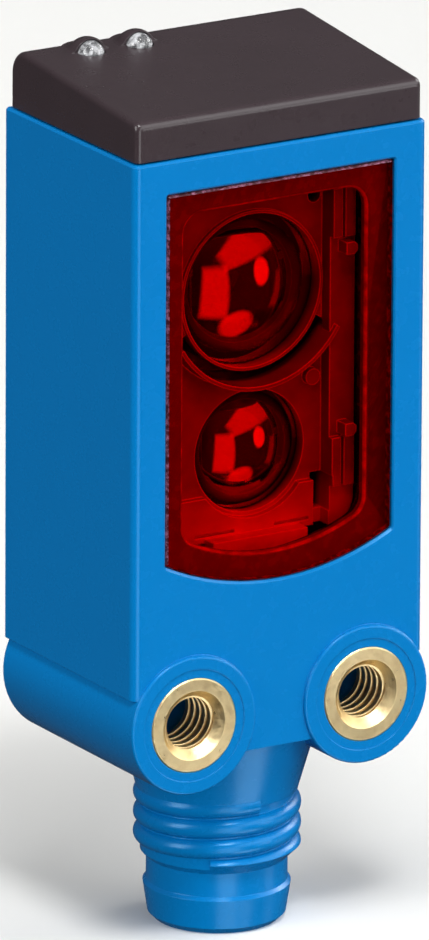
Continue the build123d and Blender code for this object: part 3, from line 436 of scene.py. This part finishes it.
def amber_foil():
    """Amber foil with fine copper lines along its length."""
    material, tree = new_tree("amber_foil")
    place = millimetres(tree)
    lines = node(tree, "ShaderNodeTexWave", {"Vector": place, "Scale": 2.2}, wave_type="BANDS",
                 bands_direction="X").outputs["Fac"]
    base = mix_colour(tree, remap(tree, lines, 0.45, 0.55, 0.0, 1.0), (0.45, 0.16, 0.02),
                      (0.62, 0.30, 0.07))
    shader = node(tree, "ShaderNodeBsdfPrincipled", {
        "Base Color": base, "Roughness": 0.25, "Normal": bump(tree, lines, 0.02)})
    return finish_surface(material, tree, shader.outputs[0])


def ceramic():
    """Brown, slightly grainy ceramic of the capacitors."""
    material, tree = new_tree("ceramic")
    place = millimetres(tree)
    grain = noise(tree, place, 8.0, 4.0)
    base = mix_colour(tree, grain, (0.30, 0.20, 0.11), (0.42, 0.30, 0.18))
    shader = node(tree, "ShaderNodeBsdfPrincipled", {
        "Base Color": base, "Roughness": 0.38, "Normal": bump(tree, grain, 0.01)})
    return finish_surface(material, tree, shader.outputs[0])


# ---- the CAD pieces and their finishes -------------------------------------------------

def paint_pieces():
    """Gives every piece the material of its slot in the record."""
    makers = {
        "blue_housing": blue_plastic, "black_cover": cover_plastic, "red_window": red_pane,
        "window_seal": window_seal_bead, "clear_lens": lens_plastic,
        "carrier_plastic": carrier_plastic, "brass": brass, "contact_gold": contact_gold,
        "contact_insulator": insulator_plastic, "seal_rubber": seal_rubber,
        "circuit_board": circuit_board, "chip_black": chip_plastic, "shield_metal": tinned_sheet,
        "flex_foil": amber_foil, "clear_pipe": pipe_plastic, "led_package": led_plastic,
        "wire_insulation": wire_plastic, "ceramic": ceramic,
    }
    slot_of = {part["node"]: part["material_slot"] for part in frame["record"]["subparts"]}
    made = {slot: maker() for slot, maker in makers.items()}
    for name, piece in frame["nodes"].items():
        piece.data.materials.clear()
        piece.data.materials.append(made[slot_of[name]])


# ---- studio ----------------------------------------------------------------------------

def direction(azimuth, elevation):
    """Unit vector from the object towards a place seen at that azimuth and elevation."""
    a, e = radians(azimuth), radians(elevation)
    return Vector((sin(a) * cos(e), -cos(a) * cos(e), sin(e)))


def aimed(back, roll=0.0):
    """Rotation for a camera or light that looks against the given direction."""
    turn = (-back).to_track_quat("-Z", "Y").to_matrix().to_4x4()
    return turn @ Matrix.Rotation(radians(roll), 4, "Z")


def add_camera(centre):
    """Camera at the viewing angle, framed on the whole sensor."""
    data = bpy.data.cameras.new("camera")
    data.sensor_width = SENSOR
    data.lens = VIEW_LENS
    data.clip_start = 0.01
    data.clip_end = 20.0
    camera = bpy.data.objects.new("camera", data)
    bpy.context.scene.collection.objects.link(camera)
    back = direction(VIEW_AZIMUTH, VIEW_ELEVATION)
    place = centre + AIM_OFFSET + back * VIEW_DISTANCE
    camera.matrix_world = Matrix.Translation(place) @ aimed(back, VIEW_ROLL)
    bpy.context.scene.camera = camera


def add_lights(centre):
    """Soft boxes round the sensor."""
    for name, azimuth, elevation, distance, width, height, power in LIGHTS:
        data = bpy.data.lights.new(name, "AREA")
        data.shape = "RECTANGLE"
        data.size = width
        data.size_y = height
        data.energy = power
        light = bpy.data.objects.new(name, data)
        bpy.context.scene.collection.objects.link(light)
        back = direction(azimuth, elevation)
        light.matrix_world = Matrix.Translation(centre + back * distance) @ aimed(back)
        light.visible_camera = False


def panel_mask(tree, ray, azimuth, elevation, half_width, half_height, is_round):
    """1 towards a panel and 0 elsewhere, with a soft edge."""
    middle = direction(azimuth, elevation)
    across = direction(azimuth + 90.0, 0.0)
    upwards = across.cross(-middle)
    depth = along(tree, ray, middle)
    offsets = []
    for axis, half in ((across, half_width), (upwards, half_height)):
        offset = maths(tree, "DIVIDE", along(tree, ray, axis), depth)
        offset = maths(tree, "DIVIDE", offset, tan(radians(half)))
        offsets.append(maths(tree, "ABSOLUTE", offset))
    if is_round:
        squares = [maths(tree, "MULTIPLY", offset, offset) for offset in offsets]
        reach = maths(tree, "SQRT", maths(tree, "ADD", *squares))
    else:
        reach = maths(tree, "MAXIMUM", *offsets)
    inside = remap(tree, reach, 1.0 - PANEL_BLUR, 1.0 + PANEL_BLUR, 1.0, 0.0)
    return maths(tree, "MULTIPLY", inside, maths(tree, "GREATER_THAN", depth, 0.0))


def add_world():
    """Dim room, brighter overhead than below, with the bright panels painted on it."""
    world = bpy.data.worlds.new("room")
    bpy.context.scene.world = world
    world.use_nodes = True
    tree = world.node_tree
    tree.nodes.clear()
    ray = node(tree, "ShaderNodeTexCoord").outputs["Generated"]
    height = node(tree, "ShaderNodeSeparateXYZ", {0: ray}).outputs["Z"]
    level = remap(tree, height, WORLD_LOW_Z, WORLD_HIGH_Z, WORLD_LOW, WORLD_HIGH)
    for azimuth, elevation, half_width, half_height, brightness, is_round in PANELS:
        mask = panel_mask(tree, ray, azimuth, elevation, half_width, half_height, is_round)
        level = maths(tree, "ADD", level, maths(tree, "MULTIPLY", mask, brightness))
    surface = node(tree, "ShaderNodeBackground", {"Color": (1.0, 1.0, 1.0, 1.0),
                                                  "Strength": level})
    node(tree, "ShaderNodeOutputWorld", {"Surface": surface.outputs[0]})


def floor_paint():
    """Pale matt floor, clear when seen from underneath."""
    material, tree = new_tree("floor_paint")
    place = millimetres(tree)
    darker = tuple(value * 0.97 for value in FLOOR_COLOUR)
    base = mix_colour(tree, noise(tree, place, 0.02, 3.0), darker, FLOOR_COLOUR)
    paint = node(tree, "ShaderNodeBsdfPrincipled", {
        "Base Color": base, "Roughness": 0.8, "Specular IOR Level": 0.2,
        "Normal": bump(tree, noise(tree, place, 1.5, 4.0), 0.01)})
    clear = node(tree, "ShaderNodeBsdfTransparent")
    under = node(tree, "ShaderNodeNewGeometry").outputs["Backfacing"]
    shader = node(tree, "ShaderNodeMixShader", {0: under, 1: paint.outputs[0],
                                                2: clear.outputs[0]})
    return finish_surface(material, tree, shader.outputs[0])


def add_floor(height):
    """Large flat floor under the plug's end."""
    mesh = bpy.data.meshes.new("floor")
    corners = [(x, y, height) for x, y in ((-FLOOR_HALF, -FLOOR_HALF), (FLOOR_HALF, -FLOOR_HALF),
                                           (FLOOR_HALF, FLOOR_HALF), (-FLOOR_HALF, FLOOR_HALF))]
    mesh.from_pydata(corners, [], [(0, 1, 2, 3)])
    mesh.materials.append(floor_paint())
    floor = bpy.data.objects.new("floor", mesh)
    bpy.context.scene.collection.objects.link(floor)
    floor.visible_glossy = False
    floor.visible_diffuse = False


def build_scene():
    """The finished sensor in its studio."""
    low, high = cad_box
    centre = (low + high) / 2
    paint_pieces()
    add_floor(low.z)
    add_world()
    add_lights(centre)
    add_camera(centre)
    bpy.context.scene.view_settings.view_transform = "Standard"


build_scene()
